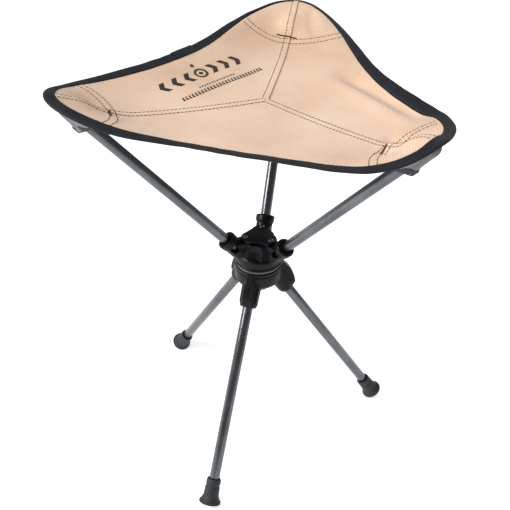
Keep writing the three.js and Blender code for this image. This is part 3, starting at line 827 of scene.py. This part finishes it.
# Folds of the cloth: start, end, depth, width, and how far the fold bows to its left. A crest has a
# negative depth. Dents: centre, depth and width.
FOLDS = (
    ((56, 89), (158, -27), 6.5, 11, 5.5),
    ((43, 77), (144, -39), -3, 10, 5.5),
    ((111, -44), (158, -72), 3.5, 6, 0),
    ((108, -58), (158, -88), -1.5, 5, 0),
    ((108, -73), (150, -97), 4.5, 6.5, 0),
    ((27, 147), (18, 188), 2, 5.5, 0),
    ((-120, -20), (-60, 60), 1.2, 14, 0),
    ((-80, -96), (70, -100), 1.5, 12, 0),
)
DENTS = (((-20, 165), 2.5, 16), ((-140, -66), 2, 14))


def fold(x, y, start, end, depth, width, bow):
    """A soft fold along a line that bows to its left. It fades out towards its ends."""
    share, _, left = along_line(x, y, start, end)
    left = left - 4 * bow * share * (1 - share)
    fade = smooth(share / 0.25) * smooth((1 - share) / 0.25)
    return -depth * np.exp(-((left / width) ** 2)) * fade


def dent(x, y, centre, depth, width):
    return -depth * np.exp(-((x - centre[0]) ** 2 + (y - centre[1]) ** 2) / width**2)


def creases(x, y):
    """The soft folds and dents of a hanging seat."""
    total = np.zeros_like(x)
    for shape in FOLDS:
        total = total + fold(x, y, *shape)
    for shape in DENTS:
        total = total + dent(x, y, *shape)
    return total


def corner_tip(corner):
    return np.array(around(corner["azimuth"], float(side_facts(corner["azimuth"])[0])))


TIPS = [corner_tip(corner) for corner in CORNERS]
# The stitched arc at each corner: where it crosses the seam, from the swivel axis, and its radius on
# the clockwise and on the other side of the seam.
ARCS = ((135.5, 104, 92), (136, 58, 76), (133, 75, 80))
# The bar of thread across each seam: distance out, distance to the left of the corner's line, length
# and turn from square to that line.
BAR_TACKS = ((145.3, 2, 22, -8), (141, 1.5, 12, 0), (135.8, -4.5, 12, 12))


def arc_distance(k, x, y):
    """How far a place is outside the arc of corner k; the arc bows towards the seat's middle."""
    start, clockwise, other = ARCS[k]
    a = math.radians(CORNERS[k]["azimuth"])
    along = x * math.cos(a) + y * math.sin(a)
    across = -x * math.sin(a) + y * math.cos(a)
    radius = np.where(across < 0, clockwise, other)
    return np.hypot(along - start - radius, across) - radius


def arc_path(k, line):
    """Points in plan along the arc of corner k, moved outwards by line."""
    start, clockwise, other = ARCS[k]
    a = math.radians(CORNERS[k]["azimuth"])
    turn = np.radians(np.linspace(-85, 85, 240))
    radius = np.where(turn < 0, clockwise, other)
    along = start + radius - (radius + line) * np.cos(turn)
    across = (radius + line) * np.sin(turn)
    x = along * math.cos(a) - across * math.sin(a)
    y = along * math.sin(a) + across * math.cos(a)
    inside = np.hypot(x, y) < side_facts(np.degrees(np.arctan2(y, x)))[0] - TAPE_WIDTH
    return x[inside], y[inside]


def seam_relief(x, y):
    """The seams' raised fold between two sunk stitch lines, and the same along the pocket arcs."""
    relief = np.zeros_like(x)
    for tip in TIPS:
        _, away, left = along_line(x, y, JUNCTION, tip)
        relief = np.maximum(relief, 0.55 * (1 - smooth((away - SEAM_HALF) / 1.3)))
        relief = relief - 0.28 * np.exp(-(((away - SEAM_HALF) / 0.55) ** 2))
        ripple = np.sin((x * 0.7 + y * 0.9) * 0.8 + np.sin(left * 0.4) * 1.5)
        relief = relief + 0.10 * ripple * np.exp(-(((away - SEAM_HALF - 1) / 3) ** 2))
    for k in range(3):
        away = arc_distance(k, x, y)
        relief = relief + 0.35 * (1 - smooth((np.abs(away + SEAM_HALF) - SEAM_HALF) / 1.2))
        for line in (0, -2 * SEAM_HALF):
            relief = relief - 0.25 * np.exp(-(((away - line) / 0.6) ** 2))
    return relief


def rim_pucker(x, y):
    """Short ripples where the tape gathers the cloth."""
    azimuth = np.degrees(np.arctan2(y, x))
    radius, _, _ = side_facts(azimuth)
    inside = radius - np.hypot(x, y)
    wave = np.sin(np.radians(azimuth) * 31 + 1.7 * np.sin(np.radians(azimuth) * 7))
    return 0.14 * wave * np.exp(-((np.maximum(inside, 0) / 22) ** 2))


def seat_height(x, y, relief=True):
    x, y = np.asarray(x, float), np.asarray(y, float)
    height = over_tips(x, y, base_height(x, y) + creases(x, y)) + rim_pucker(x, y)
    return height + seam_relief(x, y) if relief else height


def on_seat(x, y, lift=0.0):
    x, y = np.asarray(x, float), np.asarray(y, float)
    return np.stack([x, y, seat_height(x, y) + lift], axis=-1)


def rim_distance(ahead):
    """How far the rim is from the junction along unit directions."""
    low, high = np.zeros(len(ahead)), np.full(len(ahead), float(FARTHEST_RIM))
    for _ in range(40):
        middle = (low + high) / 2
        x, y = JUNCTION[0] + ahead[:, 0] * middle, JUNCTION[1] + ahead[:, 1] * middle
        outside = np.hypot(x, y) > side_facts(np.degrees(np.arctan2(y, x)))[0]
        high, low = np.where(outside, middle, high), np.where(outside, low, middle)
    return low


# ---- the cloth seat: its pieces ----
def slab(top, thickness):
    """A grid of points made into a closed sheet of that thickness, which lies below the grid."""
    top = np.asarray(top, float)
    rows, columns = top.shape[:2]
    normal = np.cross(np.gradient(top, axis=0), np.gradient(top, axis=1))
    normal /= np.maximum(np.linalg.norm(normal, axis=2, keepdims=True), 1e-9)
    if normal[..., 2].mean() < 0:
        normal = -normal
    under = top - normal * thickness
    points = np.vstack([top.reshape(-1, 3), under.reshape(-1, 3)])
    below = rows * columns
    faces = []
    for i in range(rows - 1):
        for k in range(columns - 1):
            a = i * columns + k
            loop = [a, a + 1, a + columns + 1, a + columns]
            faces.append(loop)
            faces.append([below + p for p in reversed(loop)])
    border = [k for k in range(columns)]
    border += [i * columns + columns - 1 for i in range(1, rows)]
    border += [(rows - 1) * columns + k for k in range(columns - 2, -1, -1)]
    border += [i * columns for i in range(rows - 2, 0, -1)]
    for a, b in zip(border, border[1:] + border[:1]):
        faces.append([b, a, below + a, below + b])
    return points, faces


def swept(rings, endless):
    """Rings of points joined into a closed skin."""
    rings = np.asarray(rings, float)
    count, sides = rings.shape[:2]
    faces = []
    for i in range(count if endless else count - 1):
        near, far = i * sides, ((i + 1) % count) * sides
        faces += [[near + k, near + (k + 1) % sides, far + (k + 1) % sides, far + k] for k in range(sides)]
    if not endless:
        faces += [list(range(sides))[::-1], [(count - 1) * sides + k for k in range(sides)]]
    return rings.reshape(-1, 3), faces


def panel_columns(radius, span):
    """Angles across a panel in radians, with columns close together beside both seams."""
    beside_stitches = [0, 0.7, 1.5, 2.2, 2.7, 3.2, 3.7, 4.4, 5.4]
    farther = [7, 9, 11.5, 14.5, 18, 22, 27, 32, 38, 45, 53, 62, 72]
    offsets = np.array(beside_stitches + farther)
    half = span / 2
    near = np.minimum(offsets / radius, np.linspace(0, 0.75 * half, len(offsets)))
    left = np.concatenate([near, np.linspace(near[-1], half, 15)[1:]])
    return np.concatenate([left, span - left[-2::-1]])


def make_panels():
    edge = 2.5  # the cloth ends inside the tape
    shares = np.concatenate([
        np.linspace(0.006, 0.60, 44, endpoint=False),
        np.linspace(0.60, 0.82, 46, endpoint=False),
        np.linspace(0.82, 1.0, 22),
    ])
    for k in range(3):
        start, end = (TIPS[n] - np.array(JUNCTION) for n in (k, (k + 1) % 3))
        from_angle = math.atan2(start[1], start[0])
        span = (math.atan2(end[1], end[0]) - from_angle) % (2 * math.pi)
        grid = []
        for share in shares:
            angles = from_angle + panel_columns(share * 170, span)
            ahead = np.stack([np.cos(angles), np.sin(angles)], axis=1)
            distance = share * (rim_distance(ahead) - edge)
            place = np.array(JUNCTION) + ahead * distance[:, None]
            grid.append(on_seat(place[:, 0], place[:, 1]))
        name = f"seat_panel_{k + 1}"
        sheet = slab(grid, CLOTH)
        cloth = piece(f"{name}_cloth", *sheet, CLOTH_LOOK, "seat_frame", [name], "seat_cloth")
        coat_underside(cloth)


def coat_underside(cloth):
    cloth.data.materials.append(POCKET_LOOK)
    for face in cloth.data.polygons:
        face.material_index = 1 if face.normal.z < 0 else 0


def rim_path(count):
    """Points round the rim in plan, evenly spread in angle, with their outward directions."""
    azimuth = np.linspace(0, 360, count, endpoint=False)
    radius = side_facts(azimuth)[0]
    a = np.radians(azimuth)
    path = np.stack([radius * np.cos(a), radius * np.sin(a)], axis=1)
    ahead = np.roll(path, -1, axis=0) - np.roll(path, 1, axis=0)
    ahead /= np.linalg.norm(ahead, axis=1, keepdims=True)
    return path, np.stack([ahead[:, 1], -ahead[:, 0]], axis=1)


def tape_section(extra=0.0):
    """Section of a tape folded over the cloth's edge: (inward distance, height above the cloth)."""
    over, under = TAPE + extra, CLOTH + TAPE + extra
    turns = [math.radians(a) for a in (60, 30, 0, -30, -60)]
    nose = [(-0.9 * math.cos(t) - extra, math.sin(t)) for t in turns]
    middle, half = (over - under) / 2, (over + under) / 2
    outer = [(TAPE_WIDTH, 0.12), (TAPE_WIDTH - 0.4, over), (5, over + 0.1), (1.2, over + 0.05)]
    outer += [(x, middle + half * z) for x, z in nose]
    outer += [(1.2, -under - 0.05), (5, -under - 0.1), (TAPE_WIDTH - 0.4, -under)]
    return outer + [(TAPE_WIDTH, -CLOTH - 0.12), (2.2, -CLOTH - 0.08), (2.2, 0.08)]


def tape_rings(path, outward, extra=0.0):
    rings = []
    for (x, y), out in zip(path, outward):
        ring = []
        for inward, height in tape_section(extra):
            px, py = x - out[0] * inward, y - out[1] * inward
            ring.append((px, py, float(seat_height(px, py, relief=False)) + height))
        rings.append(ring)
    return rings


def make_binding():
    path, outward = rim_path(420)
    loop = swept(tape_rings(path, outward), True)
    binding = piece("seat_binding_tape", *loop, TAPE_LOOK, "seat_frame", ["seat_binding"], "edge_tape")
    azimuth = np.degrees(np.arctan2(path[:, 1], path[:, 0]))
    here = (azimuth > LAP[0]) & (azimuth < LAP[1])
    lap = tape_rings(path[here], outward[here], extra=0.65)
    lap[0] = (np.array(lap[0]) + np.array(lap[1])) / 2
    splice = piece("seat_binding_lap", *swept(lap, False), TAPE_LOOK, "seat_frame", slot="edge_tape")


# ---- pockets under the corners ----
POCKET_SPREAD = 13  # degrees along the rim from the corner to each end of the pocket
POCKET_DEPTHS = (36, 27, 37)  # from the pole's end to the mouth, at each corner
POCKET_OFFSET = 9.5  # from the pole's axis to the mouth
POCKET_REACH = 0.93  # share of the mouth's width that the pocket's ends and its hem reach


def pole_frame(k):
    axis, _, outward = tube_frame(POLE_AZIMUTHS[k], POLE_TILT)
    return axis, outward


def pocket_rim(k, side):
    azimuth = CORNERS[k]["azimuth"] + side * POCKET_SPREAD
    radius = float(side_facts(azimuth)[0]) - 5.5
    return under_seat(np.array([*around(azimuth, radius), np.inf]))


def under_seat(point):
    """The point itself, or the place just under the cloth and tape where it would be higher than that."""
    height = float(seat_height(point[0], point[1], relief=False)) - CLOTH - TAPE - 0.6
    return np.array([point[0], point[1], min(point[2], height)])


def pocket_mouth(k, side):
    axis, outward = pole_frame(k)
    middle = np.array([0, 0, POLE_APEX]) + axis * (POLE_END - POCKET_DEPTHS[k]) + outward * POCKET_OFFSET
    end = under_seat(pocket_rim(k, math.copysign(1, side)) * np.array([POCKET_REACH, POCKET_REACH, 1]))
    share = abs(side) ** 1.3
    return middle * (1 - share) + end * share


def pocket_point(k, u, v):
    """A place on a pocket: u from rim to mouth, v across. The cloth goes round the pole's tip."""
    across = 2 * v - 1
    side = across * math.sqrt(abs(across))
    axis, outward = pole_frame(k)
    lateral = np.cross(axis, outward)
    apex = np.array([0, 0, POLE_APEX])
    place = pocket_rim(k, side) * (1 - u) + pocket_mouth(k, side) * u - apex
    along, out, left = place @ axis, place @ outward, place @ lateral
    beyond = max(along - (POLE_END - TIP_RADIUS), 0)
    room = (TIP_RADIUS + 1) ** 2 - beyond**2 - left**2
    clear = math.sqrt(room) if room > 0 else -3 * math.sqrt(-room)
    out = float(soft_max(out, clear, 2))
    return under_seat(apex + axis * along + outward * out + lateral * left)


def make_pockets():
    rows, columns = 26, 64
    for k in range(3):
        across = [j / columns for j in range(columns + 1)]
        grid = [[pocket_point(k, i / rows, v) for v in across] for i in range(rows + 1)]
        name = f"corner_pocket_{k + 1}"
        shell = slab(grid, 0.8)
        pocket = piece(
            f"{name}_cloth", *shell, POCKET_LOOK, "seat_frame", [name], "pocket_cloth", sharp=60
        )
        hem = make_hem(k)


def make_hem(k):
    """Tape folded over a pocket's mouth."""
    axis, outward = pole_frame(k)
    steps, width, thickness = 48, 8.5, 2.2
    section = [(-3.2, -0.5), (0.2, -0.5), (1, -0.42), (1.3, 0), (1, 0.42), (0.2, 0.5), (-3.2, 0.5)]
    rings = []
    for i in range(steps + 1):
        side = POCKET_REACH * (2 * i / steps - 1)
        edge = pocket_mouth(k, side) + outward * 0.4
        rings.append([
            under_seat(edge - axis * (s * width / 4.5) + outward * (h * thickness)) for s, h in section
        ])
    name = f"pocket_hem_{k + 1}"
    return piece(f"{name}_tape", *swept(rings, False), TAPE_LOOK, "seat_frame", [name], "edge_tape")


# ---- stitching and print ----
# A stitch's rings: share of its length, share of its radius, and how far it sinks, in radii.
STITCH_RINGS = ((0.0, 0.35, 0.7), (0.12, 0.85, 0.15), (0.5, 1.0, 0.0), (0.88, 0.85, 0.15), (1.0, 0.35, 0.7))


def stitch_shape(start, end, radius):
    """One stitch: a short thread whose ends dip into the cloth."""
    ahead = end - start
    length = np.linalg.norm(ahead)
    ahead = ahead / max(length, 1e-9)
    across = np.cross(ahead, UP)
    across /= max(np.linalg.norm(across), 1e-9)
    up = np.cross(across, ahead)
    rings = []
    for share, size, sink in STITCH_RINGS:
        centre = start + ahead * (length * share) - up * (sink * radius)
        ring = []
        for k in range(6):
            a = math.pi * k / 3
            ring.append(centre + radius * size * (math.cos(a) * across + math.sin(a) * up))
        rings.append(ring)
    return swept(rings, False)


def stitches_along(path, length=3.3, gap=0.5, radius=0.42):
    """Stitches of that length and gap along a path of 3D points."""
    path = np.asarray(path, float)
    steps = np.linalg.norm(np.diff(path, axis=0), axis=1)
    travelled = np.concatenate([[0], np.cumsum(steps)])
    starts = np.arange(0.4, travelled[-1] - length, length + gap)

    def at(distance):
        return np.array([np.interp(distance, travelled, path[:, i]) for i in range(3)])

    return [stitch_shape(at(s), at(s + length), radius) for s in starts]


def offset_line(start, end, offset, inset_start, inset_end):
    """A line in plan moved to its left, and shortened at both ends."""
    start, end = np.array(start, float), np.array(end, float)
    ahead = (end - start) / np.linalg.norm(end - start)
    left = np.array([-ahead[1], ahead[0]])
    a = start + ahead * inset_start + left * offset
    b = end - ahead * inset_end + left * offset
    shares = np.linspace(0, 1, 90)[:, None]
    return a * (1 - shares) + b * shares


def seam_stitches():
    """Two lines beside each seam. They meet in a point in each panel next to the junction."""
    made = []
    corner = SEAM_HALF / math.tan(math.radians(60))
    for tip in TIPS:
        for side in (1, -1):
            line = offset_line(JUNCTION, tip, side * SEAM_HALF, corner, TAPE_WIDTH)
            made += stitches_along(on_seat(line[:, 0], line[:, 1], 0.12))
    return made


def arc_stitches():
    made = []
    for k in range(3):
        for line in (0, -2 * SEAM_HALF):
            made += stitches_along(on_seat(*arc_path(k, line), 0.12))
    return made


def bar_tacks():
    """A dense bar of thread across each seam where the pocket arc meets it."""
    made = []
    pitch, half_length, slant = 0.55, 0.9, 68.755
    for corner, (out, left, length, turn) in zip(CORNERS, BAR_TACKS):
        azimuth = corner["azimuth"]
        middle = np.array(around(azimuth, out)) + left * level_left(azimuth)[:2]
        across = azimuth + 90 + turn
        for s in np.arange(-length / 2, length / 2, pitch):
            centre = middle + np.array(around(across, s))
            half = np.array(around(across - slant, half_length))
            ends = np.array([centre - half, centre + half])
            line = on_seat(ends[:, 0], ends[:, 1], 0.45)
            made.append(stitch_shape(line[0], line[1], 0.4))
    return made


def tape_stitches():
    path, outward = rim_path(720)
    inner = path - outward * (TAPE_WIDTH - 1.8)
    height = seat_height(inner[:, 0], inner[:, 1], relief=False) + TAPE + 0.1
    loop = np.column_stack([inner, height])
    return stitches_along(np.vstack([loop, loop[:1]]), 2.9, 0.8, 0.3)


def make_stitching():
    brown = joined([*seam_stitches(), *arc_stitches(), *bar_tacks()])
    piece("seat_stitching", *brown, SEAM_THREAD, "seat_frame", slot="seat_cloth", sharp=80)
    piece("tape_stitching", *joined(tape_stitches()), BLACK_THREAD, "seat_frame", slot="edge_tape", sharp=80)


PRINT_CENTRE = np.array([-70.0, 44.0])
PRINT_TURN = 58.4  # the print's baseline follows the back left edge


def printed(outline):
    """A flat ink shape on the cloth from an outline in print coordinates, cut fine enough to drape."""
    ink = bmesh.new()
    corners = [ink.verts.new((x, y, 0)) for x, y in outline]
    ink.faces.new(corners)
    bmesh.ops.triangulate(ink, faces=ink.faces)
    bmesh.ops.subdivide_edges(ink, edges=ink.edges, cuts=3, use_grid_fill=True)
    ink.verts.index_update()
    t = math.radians(PRINT_TURN)
    plan = np.array([(v.co.x, v.co.y) for v in ink.verts])
    x = PRINT_CENTRE[0] + plan[:, 0] * math.cos(t) - plan[:, 1] * math.sin(t)
    y = PRINT_CENTRE[1] + plan[:, 0] * math.sin(t) + plan[:, 1] * math.cos(t)
    top = on_seat(x, y, 0.10)
    under = on_seat(x, y, -0.10)
    count = len(plan)
    faces = [[v.index for v in face.verts] for face in ink.faces]
    faces += [[count + v.index for v in reversed(face.verts)] for face in ink.faces]
    for edge in ink.edges:
        if edge.is_boundary:
            a, b = (v.index for v in edge.verts)
            faces.append([a, b, count + b, count + a])
    ink.free()
    return np.vstack([top, under]), faces


def box_outline(x, y, width, height):
    return [(x, y), (x + width, y), (x + width, y + height), (x, y + height)]


def print_shapes():
    """A plain ornament: chevrons each side of a ringed square, a row of dots and a row of teeth."""
    shapes = []
    parts = 24
    outer, inner = 7.4, 4.9
    for k in range(parts):
        a, b = (2 * math.pi * n / parts for n in (k, k + 1))
        corners = ((inner, a), (outer, a), (outer, b), (inner, b))
        shapes.append([(r * math.cos(t), r * math.sin(t)) for r, t in corners])
    shapes.append([(0, -2.8), (2.8, 0), (0, 2.8), (-2.8, 0)])
    for side in (1, -1):
        for x in (11, 27, 43):
            for end in (7, -7):
                arm = ((0, end), (4.6, 0), (10.8, 0), (6.2, end))
                shapes.append([(side * (x + a), b) for a, b in arm])
    shapes.append([(0, 10), (2.4, 13), (0, 16), (-2.4, 13)])
    for k in range(15):
        shapes.append(box_outline(-20 + 3.3 * k, -19.6, 1.7, 2.2))
    for k in range(27):
        x = -49 + 4.05 * k
        shapes.append([(x, -28), (x + 3.3, -28), (x + 1.65, -22.6)])
        shapes.append([(x + 2.3, -22.6), (x + 3.9, -22.6), (x + 3.1, -25.4)])
    return shapes


def make_print():
    ink = joined([printed(outline) for outline in print_shapes()])
    piece("seat_print", *ink, INK_LOOK, "seat_frame", slot="seat_cloth", sharp=30)


# ---- CAD nodes that stay as they are ----
def dress_frame_nodes():
    looks = {
        "steel_fastener": STEEL_LOOK,
        "bearing_plastic": RING_LOOK,
        "insert_plastic": INSERT_LOOK,
        "elastic_cord": CORD_LOOK,
    }
    for row in frame["record"]["subparts"]:
        look = looks.get(row["material_slot"])
        if look:
            node = frame["nodes"][row["node"]]
            node.data.materials.clear()
            node.data.materials.append(look)


# ---- studio ----
def make_studio():
    size, low = 6.0, -0.0002  # metres; the floor lies just under the feet
    mesh = bpy.data.meshes.new("floor")
    corners = [(-size, -size, low), (size, -size, low), (size, size, low), (-size, size, low)]
    mesh.from_pydata(corners, [], [(0, 1, 2, 3)])
    mesh.materials.append(floor_material())
    add_object("floor", mesh)

    world = bpy.data.worlds.new("studio")
    world.use_nodes = True
    background = world.node_tree.nodes["Background"]
    background.inputs["Color"].default_value = (1, 1, 1, 1)
    background.inputs["Strength"].default_value = 0.25
    bpy.context.scene.world = world
    bpy.context.scene.view_settings.view_transform = "Standard"

    lamp("key_light", (-1.4, -0.7, 1.2), (0, 0, 0.38), 0.7, 30)
    lamp("top_light", (0, -0.4, 2.2), (0, 0, 0.35), 1.4, 16.5)
    lamp("back_light", (0.6, 1.3, 1.2), (0, 0, 0.35), 0.8, 4)


def lamp(name, place, aim, size, power):
    light = bpy.data.lights.new(name, "AREA")
    light.size, light.energy = size, power
    holder = add_object(name, light)
    holder.location = place
    holder.rotation_euler = (Vector(aim) - Vector(place)).to_track_quat("-Z", "Y").to_euler()


make_tubes()
make_tips()
make_feet()
make_lower_hub()
make_upper_hub()
make_top_plate()
make_screws()
make_slide_ring()
make_panels()
make_binding()
make_pockets()
make_stitching()
make_print()
dress_frame_nodes()
make_studio()

bpy.context.view_layer.update()
